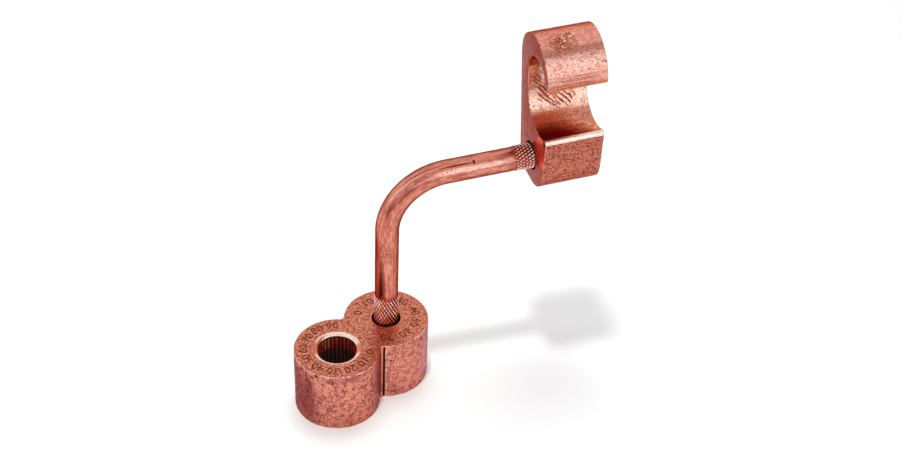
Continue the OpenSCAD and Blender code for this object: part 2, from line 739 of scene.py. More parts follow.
@dataclass(frozen=True)
class Stain:
    """A ragged patch of another colour on a piece, with its place and spread in millimetres: some are
    real stains, others painted highlights, shade or reflections.
    """

    centre: Spot
    spread: Spot
    colour: Screen
    cover: float = 0.8
    ragged: float = 1.2
    core: float = 0.35


@dataclass(frozen=True)
class Copper:
    """One finish of the copper: its screen colours, its tool lines, its pits and how it shines."""

    name: str
    bright: Screen
    plain: Screen
    dull: Screen
    dulling: float = 0.7
    blotch: float = 420.0
    grain: float = 1500.0
    stretch: Spot = (900.0, 900.0, 60.0)
    line_cover: float = 0.35
    line_colour: Screen = (122, 54, 44)
    pit_cover: float = 0.10
    pit_scale: float = 1500.0
    pit_colour: Screen = (92, 34, 28)
    shine: float = 0.26
    matt: float = 0.45
    bare: float = 1.0
    edge: Screen = (222, 178, 166)
    draw: Spot = (1.0, 1.0, 1.0)
    relief: float = 0.5
    charted: bool = False
    grooves: Point | None = None
    groove_colour: Screen = (104, 32, 26)
    stains: tuple[Stain, ...] = ()

    def build(self, effects: Effects) -> Material:
        """Makes the material.

        Args:
            effects: The shared shader groups.

        Returns:
            The material.
        """
        material = bpy.data.materials.new(self.name)
        material.use_nodes = True
        material.diffuse_color = (*shade(self.plain), 1.0)
        wiring = Wiring(material.node_tree)
        shader = material.node_tree.nodes["Principled BSDF"]
        if self.charted:
            place = wiring.node("ShaderNodeAttribute", attribute_name=CHART).outputs["Vector"]
        else:
            place = wiring.node("ShaderNodeTexCoord").outputs["Object"]
        patina = wiring.group(
            effects.patina,
            Place=wiring.vector("MULTIPLY", place, self.draw),
            Blotch=self.blotch,
            Grain=self.grain,
            Bright=shade(self.bright),
            Plain=shade(self.plain),
            Dull=shade(self.dull),
            Dulling=self.dulling,
        ).outputs
        lines = wiring.group(effects.lines, Place=place, Stretch=self.stretch, Cover=self.line_cover)
        pits = wiring.group(effects.pits, Place=place, Scale=self.pit_scale, Cover=self.pit_cover)
        drawn, pitted = lines.outputs[0], pits.outputs[0]
        colour = wiring.mix(drawn, patina["Colour"], shade(self.line_colour))
        for stain in self.stains:
            mask = wiring.group(
                effects.stain,
                Place=place,
                Centre=metres(stain.centre),
                Spread=metres(stain.spread),
                Ragged=stain.ragged,
                Core=stain.core,
            ).outputs[0]
            tint = shade(stain.colour)
            deep = tuple(STAIN_AND_LIGHT_DEEP * part for part in tint)
            spotted = wiring.mix(patina["Dullness"], tint, deep)
            colour = wiring.mix(wiring.maths("MULTIPLY", mask, stain.cover), colour, spotted)
        colour = wiring.mix(pitted, colour, shade(self.pit_colour))
        if self.grooves:
            low, high = self.grooves
            crest = wiring.group(effects.crest, Place=place, Low=low, High=high).outputs[0]
            colour = wiring.mix(crest, shade(self.groove_colour), colour)
        shader.inputs["Metallic"].default_value = self.bare
        shader.inputs["Specular IOR Level"].default_value = 0.0
        shader.inputs["Specular Tint"].default_value = (*shade(self.edge), 1.0)
        wiring.feed(shader.inputs["Base Color"], colour)
        worn = wiring.maths("MAXIMUM", patina["Dullness"], pitted)
        wiring.feed(shader.inputs["Roughness"], wiring.ease(worn, 0.0, 1.0, self.shine, self.matt))
        height = wiring.maths("SUBTRACT", patina["Height"], wiring.maths("ADD", drawn, pitted))
        bump = wiring.node(
            "ShaderNodeBump", {"Height": height, "Strength": self.relief, "Distance": BUMP_DEPTH}
        )
        wiring.feed(shader.inputs["Normal"], bump.outputs[0])
        return material


# The connector's pieces


@dataclass(frozen=True)
class Layout:
    """The places where the pieces meet."""

    lobe_pitch: float = 24.5 * MM
    lobe_turn: float = math.radians(28.2)
    sleeve_h: float = 25.5 * MM
    leg_rise: float = 62.4 * MM
    leg_run: float = 52.7 * MM
    leg_climb: float = math.radians(3.0)
    bend_r: float = 22.3 * MM
    rod_r: float = ROD_R * MM
    knurl_r: float = 4.6 * MM
    hole_r: float = 4.65 * MM
    flare_w: float = 0.8 * MM
    flare_h: float = 2.0 * MM
    sleeve_seat: float = 18.0 * MM
    hook_seat: float = 14.0 * MM

    @property
    def foot(self) -> Vector:
        """Where the rod comes out of the sleeve's top."""
        way = Vector((math.cos(self.lobe_turn), math.sin(self.lobe_turn), 0.0))
        return self.lobe_pitch * way + self.sleeve_h * UP

    @property
    def leg(self) -> Vector:
        """The way the rod's upper leg runs."""
        return Vector((math.cos(self.leg_climb), 0.0, math.sin(self.leg_climb)))

    @property
    def crossing(self) -> Vector:
        """Where the axes of the rod's two legs cross."""
        return self.foot + self.leg_rise * UP

    @property
    def bend(self) -> float:
        """The angle that the rod turns by."""
        return math.pi / 2 - self.leg_climb

    @property
    def reach(self) -> float:
        """How far the bend begins before the crossing."""
        return self.bend_r * math.tan(self.bend / 2)

    @property
    def bend_centre(self) -> Vector:
        """The centre that the rod is bent round."""
        return self.crossing + Vector((self.bend_r, 0.0, -self.reach))

    @property
    def hook_face(self) -> Vector:
        """Where the rod goes into the hook's end face."""
        return self.crossing + self.leg_run * self.leg

    @property
    def hook_board(self) -> Plane:
        """The hook's end face as a board: across to the front, and up."""
        up = Vector((-math.sin(self.leg_climb), 0.0, math.cos(self.leg_climb)))
        return Plane(self.hook_face, Vector((0.0, -1.0, 0.0)), up)

    @property
    def hook_turn(self) -> Matrix:
        """The turn that lays an upright piece back along the upper leg."""
        return (-self.leg).to_track_quat("Z", "Y").to_matrix().to_4x4()


def lay_out(obj: Obj, chart: Callable[[Vector], Vector]) -> None:
    """Keeps the place of every vertex on a piece's own chart, for patterns that follow its form.

    Args:
        obj: The finished mesh.
        chart: Gives the place on the chart of a point in space.
    """
    kept = obj.data.attributes.new(CHART, "FLOAT_VECTOR", "POINT")
    for vertex in obj.data.vertices:
        kept.data[vertex.index].vector = chart(vertex.co)


# The holes' walls are painted near black: painted shade in the narrow gap round the rod at the flared
# mouths
SEAT_WALL = Copper("seat wall", bright=(120, 52, 42), plain=(84, 32, 28), dull=(40, 16, 14))


def seat_tool(layout: Layout, effects: Effects, depth: float) -> Obj:
    """Makes the tool for a rod's blind hole, cut down from the origin, with a flared mouth.

    Args:
        layout: The sizes of the hole.
        effects: The shared shader groups.
        depth: How deep it goes.

    Returns:
        The tool.
    """
    over = MM
    mouth = layout.hole_r + layout.flare_w
    pen = Pen("seat", SIDE_BOARD, (0.0, -depth))
    pen.line((layout.hole_r, -depth)).line((layout.hole_r, -layout.flare_h))
    pen.line((mouth + layout.flare_w / layout.flare_h * over, over)).line((0.0, over))
    obj = pen.lathe(SEAT_SIDES)
    effects.dress(obj, SEAT_WALL)
    return obj


@dataclass(frozen=True)
class SleeveFinish:
    """The finishes of the sleeve."""

    wall: Copper = Copper(
        "sleeve wall",
        bright=(238, 160, 140),
        plain=(208, 122, 106),
        dull=(142, 68, 60),
        dulling=0.8,
        blotch=520.0,
        grain=1700.0,
        stretch=(800.0, 800.0, 120.0),
        line_cover=0.35,
        relief=0.9,
        edge=(206, 176, 182),
        stains=(
            Stain((27.5, -3.2, 11), (9, 9, 16), (236, 150, 130), 0.55, 1.2),
            # Painted highlight: a pale mauve band down the right side of the right lobe
            Stain((36, 3.5, 12), (8, 9, 26), (222, 160, 161), 0.9, 0.5),
            # Painted shade: darker mauve down the left side of the left lobe
            Stain((-15.5, 1, 12), (5, 10, 22), (143, 71, 69), 0.9, 0.8),
            Stain((-14, -8.5, 10), (9, 6, 20), (143, 70, 68), 0.9, 1.0),
            Stain((0, -15.9, 23.6), (14, 8, 2.4), (170, 98, 100), 0.6, 1.2),
            # Painted highlight: a pale mauve patch on the left lobe's edge beside the front groove
            Stain((13.5, -9, 12), (4, 4, 20), (196, 126, 128), 0.7, 0.8),
            Stain((-2, -15, 0), (30, 30, 7), (214, 122, 96), 0.5, 1.6),
            # At the front groove: a painted reflection as an orange band, a painted highlight as a thin
            # light line, and painted shade as a near black line in the crease
            Stain((16, -3.9, 12), (1.7, 1.7, 60), (240, 140, 104), 0.9, 0.3),
            Stain((17.5, -3.8, 12), (0.6, 0.6, 60), (246, 176, 156), 0.7, 1.0),
            Stain((16.8, -3.6, 12), (0.7, 0.7, 60), (34, 10, 8), 1.0, 0.2),
            # Painted shade in the back groove: a brown band and a near black line in the crease
            Stain((5.7, 15.4, 12), (3.4, 3.4, 60), (128, 56, 40), 0.8, 0.3),
            Stain((5.7, 15.4, 12), (1.5, 1.5, 60), (34, 10, 8), 1.0, 0.3),
        ),
    )
    face: Copper = Copper(
        "sleeve face",
        bright=(255, 173, 143),
        plain=(207, 108, 86),
        dull=(134, 54, 42),
        dulling=0.75,
        blotch=900.0,
        grain=2400.0,
        stretch=(300.0, 1600.0, 300.0),
        relief=0.75,
    )
    # The bevelled rims: worn edges, painted lighter than the wall and the face as a painted highlight
    rim: Copper = Copper(
        "worn rim with painted highlight",
        bright=(252, 210, 192),
        plain=(228, 158, 134),
        dull=(160, 78, 60),
        dulling=0.9,
        blotch=300.0,
        line_cover=0.0,
        shine=0.24,
    )
    # The bore's chamfered mouth is painted near white: a painted highlight
    mouth: Copper = Copper(
        "bore mouth",
        bright=(255, 240, 224),
        plain=(252, 214, 188),
        dull=(236, 168, 132),
        dulling=0.3,
        line_cover=0.0,
        pit_cover=0.0,
        shine=0.18,
        matt=0.3,
        # Painted shade: the left and right sides of the mouth are painted orange
        stains=(
            Stain((-8, 2, 25), (5, 5, 4), (206, 104, 64), 0.9, 0.4),
            Stain((8, -2, 25), (4, 4, 4), (210, 112, 72), 0.85, 0.4),
        ),
    )
    bore: Copper = Copper(
        "bore wall",
        bright=(240, 104, 76),
        plain=(214, 62, 44),
        dull=(150, 38, 30),
        bare=0.25,
        stretch=(1500.0, 1500.0, 30.0),
        line_cover=0.5,
        line_colour=(70, 18, 16),
        shine=0.5,
        matt=0.7,
        grooves=(7.21 * MM, 7.06 * MM),
        groove_colour=(84, 16, 13),
        stains=(
            # Painted shade: the bore is painted darker towards its bottom
            Stain((0, 0, 4), (60, 60, 17), (86, 80, 78), 1.0, 0.15, 0.8),
            # Painted reflection: an orange patch high on the bore's left wall
            Stain((-2.6, 6.8, 22.6), (2.6, 2.6, 3.6), (255, 150, 92), 1.0, 0.6),
        ),
    )
    # The stamped numbers' recesses are painted darker brown: painted shade in the recesses
    mark: Copper = Copper("stamped mark", bright=(186, 98, 78), plain=(132, 58, 46), dull=(84, 32, 26))
    nick: Copper = Copper("nick", bright=(110, 44, 36), plain=(66, 24, 20), dull=(34, 12, 10))


@dataclass(frozen=True)
class DialRing:
    """A ring of plain numbers, stamped clockwise round a hole."""

    centre: Vector
    radius: float
    first: float
    step: float
    labels: tuple[str, ...]


@dataclass(frozen=True)
class Nick:
    """A nick in the side of a lobe, by its degrees round the lobe and its millimetres up it."""

    width: float
    at_rod: bool
    points: tuple[Point, ...]


class SleeveZone(Enum):
    """The zones of the sleeve's skin, in the order of its material slots."""

    WALL = 0
    FACE = 1
    RIM = 2


@dataclass
class RodSleeve:
    """The figure-eight sleeve that goes over the ground rod."""

    layout: Layout
    effects: Effects
    finish: SleeveFinish = SleeveFinish()
    lobe_r: float = 15.9 * MM
    waist_r: float = 1.5 * MM
    rim: float = 0.4 * MM
    bore_r: float = 7.25 * MM
    bore_ribs: int = 30
    bore_over: float = 2.0 * MM
    rib_lift: float = 0.24 * MM
    rib_fall: float = 1.2
    chamfer_w: float = 1.2 * MM
    chamfer_h: float = 0.8 * MM
    plain_h: float = 1.5 * MM
    worn_w: float = 0.6 * MM
    worn_h: float = 0.13 * MM
    mouth_sides: int = 96
    grain: float = 0.7 * MM
    smooth_under: float = 32.0
    mark_size: float = 4.76 * MM
    mark_depth: float = 0.24 * MM
    mark_turn: float = 2.0
    mark_shift: float = 0.2
    nick_sink: float = 0.3
    nicks: tuple[Nick, ...] = (
        Nick(
            0.5 * MM,
            False,
            (
                (-113, 24.6),
                (-110.2, 24),
                (-109.3, 23.2),
                (-110.6, 22.4),
                (-109.5, 21.6),
                (-106.8, 20.9),
                (-106.6, 19.9),
            ),
        ),
        Nick(0.5 * MM, False, ((-150, 24.8), (-148, 22.5), (-143, 20.0), (-140, 17.0))),
        Nick(0.5 * MM, False, ((-128, 17.6), (-124, 16.5), (-122, 14.6))),
        Nick(0.5 * MM, True, ((-102, 21.5), (-97, 21.2), (-92, 22.0))),
        Nick(0.95 * MM, False, ((-135, 25.0), (-132, 24.6), (-127, 24.2))),
        Nick(0.95 * MM, True, ((-99.5, 18.5), (-98.5, 18.1), (-97, 17.8))),
    )

    def build(self) -> Obj:
        """Makes the sleeve.

        Returns:
            The finished piece.
        """
        obj = self.draw_lobes()
        self.cut_bore(obj)
        tool = seat_tool(self.layout, self.effects, self.layout.sleeve_seat)
        set_down(tool, Matrix.Translation(self.layout.foot))
        carve(obj, tool)
        for tool in (*self.nick_tools(), self.stamp()):
            carve(obj, tool)
        smooth(obj, self.smooth_under)
        return obj

    def draw_lobes(self) -> Obj:
        """Draws the two lobes with their rounded grooves, and breaks the rims.

        Returns:
            The body, with no holes yet.
        """
        turn = self.layout.lobe_turn
        along = Vector((math.cos(turn), math.sin(turn), 0.0))
        board = Plane(ORIGIN, along, UP.cross(along))
        half = self.layout.lobe_pitch / 2
        out = math.sqrt((self.lobe_r + self.waist_r) ** 2 - half**2)
        lean = math.atan2(out, half)
        pen = Pen("sleeve_body", board, (self.lobe_r * math.cos(lean), self.lobe_r * math.sin(lean)))
        round_lobe = math.tau - 2 * lean
        round_waist = 2 * lean - math.pi
        pen.arc((0.0, 0.0), round_lobe, self.grain)
        pen.arc((half, -out), round_waist, self.grain / 2)
        pen.arc((2 * half, 0.0), round_lobe, self.grain)
        pen.arc((half, out), round_waist, self.grain / 2)
        height = self.layout.sleeve_h
        obj = pen.push(height * UP)
        self.effects.dress(obj, self.finish.wall, self.finish.face, self.finish.rim)
        for face in obj.data.polygons:
            level = abs(face.normal.z) > ALONG_OVER
            face.material_index = (SleeveZone.FACE if level else SleeveZone.WALL).value
        pick(obj, Pick.EDGE, lambda place, way: abs(way.z) < SQUARE_UNDER)
        bpy.ops.mesh.bevel(
            offset=self.rim, segments=3, profile=0.6, material=SleeveZone.RIM.value, affect="EDGES"
        )
        pick(
            obj,
            Pick.EDGE,
            lambda place, way: abs(way.z) > ALONG_OVER and abs(place.z - height / 2) < MM,
        )
        bpy.ops.mesh.subdivide(number_cuts=35)
        roughen(
            obj,
            lambda place, normal: abs(normal.z) < SLANT_UNDER,
            height=0.24 * MM,
            grain=2.2 * MM,
        )
        return obj

    def cut_bore(self, obj: Obj) -> None:
        """Cuts the ribbed bore and its bright mouth.

        Args:
            obj: The body.
        """
        height = self.layout.sleeve_h
        clear_bench()
        bpy.ops.mesh.primitive_cylinder_add(
            vertices=2 * self.bore_ribs,
            radius=self.bore_r,
            depth=height + 2 * self.bore_over,
            location=(0, 0, height / 2),
        )
        tool = bpy.context.object
        bpy.ops.object.transform_apply(location=True, rotation=True, scale=True)
        tooth(tool, self.bore_ribs, 1 - self.rib_lift / self.bore_r)
        close_up(tool)
        self.effects.dress(tool, self.finish.bore)
        carve(obj, tool)
        fall = self.rib_fall * self.rib_lift
        foot = height - self.plain_h - fall
        wide = self.bore_r + self.chamfer_w + self.worn_w / 2
        pen = Pen("mouth", SIDE_BOARD, (0.0, foot))
        pen.line((self.bore_r - fall, foot)).line((self.bore_r, height - self.plain_h))
        pen.line((self.bore_r, height - self.chamfer_h))
        pen.line((wide - self.worn_w, height - self.worn_h)).line((wide, height))
        pen.line((wide + self.worn_w, height + self.worn_h)).line((0.0, height + self.worn_h))
        tool = pen.lathe(self.mouth_sides)
        self.effects.dress(tool, self.finish.bore, self.finish.mouth)
        for face in tool.data.polygons:
            face.material_index = 1 if face.center.z > height - self.chamfer_h else 0
        carve(obj, tool)

    def rings(self) -> tuple[DialRing, DialRing]:
        """Gives the two rings of numbers, which keep clear of each other at the waist.

        Returns:
            The ring round the bore and the ring round the rod.
        """
        labels = tuple(str(number) for number in range(0, 100, 10))
        bore = DialRing(
            centre=self.layout.sleeve_h * UP,
            radius=12.1 * MM,
            first=math.radians(-25),
            step=math.radians(-27.8),
            labels=labels,
        )
        rod = DialRing(
            centre=self.layout.foot,
            radius=10.9 * MM,
            first=math.radians(150),
            step=math.radians(-36),
            labels=labels[:8],
        )
        return (bore, rod)

    def stamp(self) -> Obj:
        """Makes the stamp for the rings of plain numbers.

        Returns:
            The tool.
        """
        dice = random.Random(7)
        figures = []
        for ring in self.rings():
            for number, label in enumerate(ring.labels):
                stray = math.radians(dice.uniform(-self.mark_turn, self.mark_turn))
                turn = ring.first + ring.step * number + stray
                clear_bench()
                bpy.ops.object.text_add(location=(0, 0, 0))
                text = bpy.context.object.data
                text.body = label
                text.size = self.mark_size
                text.align_x = "CENTER"
                text.align_y = "CENTER"
                text.resolution_u = 3
                text.extrude = self.mark_depth
                bpy.ops.object.convert(target="MESH")
                figure = bpy.context.object
                close_up(figure)
                spot = Matrix.Translation(ring.centre) @ Matrix.Rotation(turn - math.pi / 2, 4, "Z")
                reach = ring.radius + dice.uniform(-self.mark_shift, self.mark_shift) * MM
                set_down(figure, spot @ Matrix.Translation((0, reach, 0)))
                figures.append(figure)
        tool = join(figures, "stamp")
        self.effects.dress(tool, self.finish.mark)
        return tool

    def nick_tools(self) -> list[Obj]:
        """Makes the tools for the nicks on the sleeve's sides.

        Returns:
            The tools.
        """
        foot = self.layout.foot
        rod_axis = Vector((foot.x, foot.y, 0.0))
        material = self.effects.material(self.finish.nick)
        tools = []
        for nick in self.nicks:
            axis = rod_axis if nick.at_rod else ORIGIN
            lift = -self.nick_sink * nick.width
            points = [self.on_lobe(axis, math.radians(a), z * MM, lift) for a, z in nick.points]
            tools.append(gouges("nick", [points], nick.width, material))
        return tools

    def on_lobe(self, centre: Vector, angle: float, height: float, lift: float) -> Vector:
        """Gives a point on the round side of a lobe, or over or under it."""
        reach = self.lobe_r + lift
        return centre + Vector((reach * math.cos(angle), reach * math.sin(angle), height))


def on_rod(angle: float, path: float) -> Spot:
    """Gives the millimetres on the rod's chart at an angle from its front and a way up its length."""
    turn = math.radians(angle)
    return (ROD_R * math.cos(turn), ROD_R * math.sin(turn), path)


@dataclass(frozen=True)
class RodFinish:
    """The finishes of the link rod."""

    skin: Copper = Copper(
        "rod skin",
        bright=(230, 152, 132),
        plain=(206, 120, 102),
        dull=(164, 78, 62),
        dulling=0.5,
        blotch=420.0,
        grain=2000.0,
        draw=(1.0, 1.0, 0.22),
        stretch=(1300.0, 1300.0, 28.0),
        line_cover=0.4,
        line_colour=(164, 78, 62),
        pit_cover=0.05,
        shine=0.2,
        matt=0.34,
        relief=0.3,
        charted=True,
        edge=(122, 70, 66),
        stains=(
            Stain(on_rod(72, 67), (0.34, 0.34, 9), (150, 60, 44), 0.75, 0.4, 0.6),
            Stain(on_rod(57, 78.5), (0.36, 0.36, 7.5), (112, 36, 26), 0.9, 0.3, 0.6),
            Stain(on_rod(72, 16), (3.1, 3.1, 34), (182, 89, 74), 0.85, 0.3, 0.55),
            Stain(on_rod(47, 17), (0.8, 0.8, 9), (128, 46, 32), 0.5, 0.4),
            Stain(on_rod(27, 59), (0.9, 0.9, 6.5), (146, 60, 42), 0.7, 0.6),
            Stain(on_rod(42, 52), (1, 1, 5), (142, 58, 42), 0.7, 0.8),
            # Painted highlight: a pale streak beside the bending tool's line on the bend
            Stain(on_rod(66, 60), (0.7, 0.7, 9), (255, 206, 188), 0.65, 0.5),
            # Painted light: the top of the upper leg is painted lighter
            Stain(on_rod(78, 78), (2.2, 2.2, 30), (236, 150, 128), 0.6, 0.4),
            # Painted highlight: a pale band along the front of the upper leg, running into the bend
            Stain(on_rod(29, 85), (1.5, 1.3, 21), (255, 214, 198), 0.6, 0.6),
        ),
    )
    knurl: Copper = Copper(
        "knurl",
        bright=(255, 236, 226),
        plain=(255, 198, 180),
        dull=(232, 116, 94),
        dulling=0.6,
        line_cover=0.0,
        pit_cover=0.0,
        shine=0.16,
        matt=0.3,
        relief=0.2,
        charted=True,
        grooves=(4.24 * MM, 4.46 * MM),
        groove_colour=(158, 60, 42),
    )
    line: Copper = Copper(
        "tool line",
        bright=(150, 62, 46),
        plain=(112, 38, 28),
        dull=(70, 20, 16),
        shine=0.6,
        matt=0.8,
    )


@dataclass(frozen=True)
class RodLine:
    """A tool's line on the rod, whose ends are millimetres up the rod and degrees from its front."""

    start: Point
    end: Point
    width: float
    depth: float


@dataclass
class LinkRod:
    """The bent rod with a knurled band at each end."""

    layout: Layout
    effects: Effects
    finish: RodFinish = RodFinish()
    sides: int = 72
    grain: float = 1.0 * MM
    sleeve_knurl: float = 13.0 * MM
    hook_knurl: float = 8.0 * MM
    run_in: float = 2.2 * MM
    teeth: int = 22
    helix: float = math.radians(29)
    row: float = 0.9 * MM
    groove_r: float = 4.16 * MM
    cross_lift: float = 0.10 * MM
    cross_r: float = 4.30 * MM
    fade: tuple[float, ...] = (0.985, 0.975, 0.965, 0.96)
    fade_row: float = 0.55 * MM
    tuck: float = 0.1 * MM
    bend_fineness: float = 1.5
    smooth_under: float = 24.0
    line_steps: int = 30
    lines: tuple[RodLine, ...] = (
        RodLine((59.5, 76), (75.0, 69), 0.40 * MM, 0.10 * MM),
        RodLine((71.5, 55.5), (84.7, 58.5), 0.56 * MM, 0.14 * MM),
        RodLine((84.7, 70), (84.7, 46), 1.2 * MM, 0.35 * MM),
        RodLine((72.8, 29), (73.3, 30), 0.44 * MM, 0.12 * MM),
        RodLine((74.4, 33), (74.9, 34), 0.40 * MM, 0.12 * MM),
        RodLine((75.8, 37), (76.4, 36), 0.50 * MM, 0.14 * MM),
        RodLine((77.3, 35), (77.8, 36), 0.44 * MM, 0.12 * MM),
        RodLine((70.0, 17), (70.5, 18), 0.40 * MM, 0.12 * MM),
    )

    def build(self) -> Obj:
        """Makes the rod.

        Returns:
            The finished piece.
        """
        layout = self.layout
        obj = self.draw_tube()
        carve(obj, join(self.tool_lines(), "tool lines"), crossing=True)
        lower = self.band("lower_knurl", layout.sleeve_seat + self.sleeve_knurl)
        set_down(lower, Matrix.Translation(layout.foot - layout.sleeve_seat * UP))
        carve(obj, lower, Cut.ADD)
        upper = self.band("upper_knurl", layout.hook_seat + self.hook_knurl)
        end = layout.hook_face + layout.hook_seat * layout.leg
        set_down(upper, Matrix.Translation(end) @ layout.hook_turn)
        carve(obj, upper, Cut.ADD)
        lay_out(obj, self.chart)
        smooth(obj, self.smooth_under)
        return obj

    @property
    def bend_start(self) -> float:
        """How far up the rod the bend begins."""
        return self.layout.leg_rise - self.layout.reach

    def chart(self, place: Vector) -> Vector:
        """Straightens the rod: to the front, to the bend's outer side, and along the rod's axis.

        Args:
            place: A point on the rod.

        Returns:
            Its place on the straightened rod.
        """
        layout = self.layout
        front = layout.foot.y - place.y
        way = place - layout.bend_centre
        if way.z <= 0 and way.x < 0:
            return Vector((front, layout.foot.x - place.x, place.z - layout.foot.z))
        angle = math.atan2(way.z, -way.x)
        if angle <= layout.bend:
            outer = math.hypot(way.x, way.z) - layout.bend_r
            return Vector((front, outer, self.bend_start + angle * layout.bend_r))
        board = layout.hook_board
        run = (place - layout.hook_face).dot(layout.leg) + layout.leg_run - layout.reach
        return Vector((front, board.read(place)[1], self.bend_start + layout.bend * layout.bend_r + run))

    def surface(self, path: float, angle: float, lift: float) -> Vector:
        """Gives a point on the rod's skin, or over it.

        Args:
            path: How far up the rod, along its axis.
            angle: The angle from the front towards the bend's outer side.
            lift: How far over the skin.

        Returns:
            The point in space.
        """
        layout = self.layout
        reach = layout.rod_r + lift
        turn = min(max((path - self.bend_start) / layout.bend_r, 0.0), layout.bend)
        outer = Vector((-math.cos(turn), 0, math.sin(turn)))
        onward = Vector((math.sin(turn), 0, math.cos(turn)))
        axis = layout.bend_centre + layout.bend_r * outer
        axis += onward * (path - self.bend_start - turn * layout.bend_r)
        return axis + reach * (math.cos(angle) * Vector((0, -1, 0)) + math.sin(angle) * outer)

    def tool_lines(self) -> list[Obj]:
        """Makes the tools for the bending tool's lines, the notch at their end and some specks.

        Returns:
            The tools.
        """
        material = self.effects.material(self.finish.line)
        tools = []
        for line in self.lines:
            lift = line.width / 2 - line.depth
            points = []
            for share in shares(self.line_steps):
                path, angle = between(line.start, line.end, share)
                points.append(self.surface(path * MM, math.radians(angle), lift))
            tools.append(gouges("tool line", [points], line.width, material))
        return tools

    def stretch_out(self, way: Vector, length: float) -> None:
        """Draws the selected ring on along a line, in rings a grain apart.

        Args:
            way: The direction.
            length: How far.
        """
        parts = max(1, round(length / self.grain))
        for _ in range(parts):
            extrude(way * (length / parts))

    def draw_tube(self) -> Obj:
        """Draws the plain rod from inside one knurled band to inside the other.

        Returns:
            The plain rod.
        """
        layout = self.layout
        start = layout.foot + UP * (self.sleeve_knurl - self.run_in)
        taper = (self.groove_r - self.tuck) / layout.rod_r
        clear_bench()
        bpy.ops.mesh.primitive_circle_add(
            vertices=self.sides, radius=layout.rod_r * taper, fill_type="NGON", location=start
        )
        obj = bpy.context.object
        obj.name = "rod_body"
        bpy.ops.object.transform_apply(location=True, rotation=True, scale=True)
        bpy.ops.object.mode_set(mode="EDIT")
        bpy.ops.mesh.select_all(action="SELECT")
        extrude(UP * self.run_in)
        bpy.ops.transform.resize(value=(1 / taper,) * 3, center_override=start + UP * self.run_in)
        self.stretch_out(UP, self.bend_start - self.sleeve_knurl)
        bpy.ops.mesh.spin(
            steps=round(layout.bend * layout.bend_r / self.grain * self.bend_fineness),
            angle=-layout.bend,
            center=layout.bend_centre,
            axis=(0, 1, 0),
        )
        self.stretch_out(layout.leg, layout.leg_run - layout.reach - self.hook_knurl)
        end = layout.hook_face - (self.hook_knurl - self.run_in) * layout.leg
        extrude(layout.leg * self.run_in)
        bpy.ops.transform.resize(value=(taper,) * 3, center_override=end)
        close_up(obj)
        self.effects.dress(obj, self.finish.skin)
        return obj

    def band(self, name: str, length: float) -> Obj:
        """Makes a knurled band that stands on the origin: twisted ridges, notched by a crossing twist.

        Args:
            name: The band's name.
            length: How long it is.

        Returns:
            The band.
        """
        crest = self.layout.knurl_r
        ridged = self.twisted(name, length, 1, crest, self.groove_r)
        crossed = self.twisted("crossed", length, -1, crest + self.cross_lift, self.cross_r)
        carve(ridged, crossed, Cut.SHARE)
        return ridged

    def twisted(self, name: str, length: float, hand: int, crest: float, groove: float) -> Obj:
        """Makes a toothed bar with a twist, which fades out at its far end.

        Args:
            name: The bar's name.
            length: How long it is.
            hand: Which way it twists, 1 or -1.
            crest: The radius over the teeth.
            groove: The radius between the teeth.

        Returns:
            The bar.
        """
        clear_bench()
        bpy.ops.mesh.primitive_circle_add(vertices=2 * self.teeth, radius=crest, fill_type="NGON")
        obj = bpy.context.object
        obj.name = name
        tooth(obj, self.teeth, groove / crest)
        bpy.ops.mesh.select_all(action="SELECT")
        straight = length - self.fade_row * len(self.fade)
        rows = round(straight / self.row)
        plan = [(straight / rows, 1.0)] * rows + [(self.fade_row, share) for share in self.fade]
        twist = hand * math.tan(self.helix) / self.layout.knurl_r
        for rise, share in plan:
            extrude(UP * rise)
            bpy.ops.transform.rotate(value=twist * rise, orient_axis="Z", center_override=(0, 0, 0))
            if share < 1:
                bpy.ops.transform.resize(value=(share, share, 1.0), center_override=(0, 0, 0))
        close_up(obj)
        self.effects.dress(obj, self.finish.knurl)
        return obj


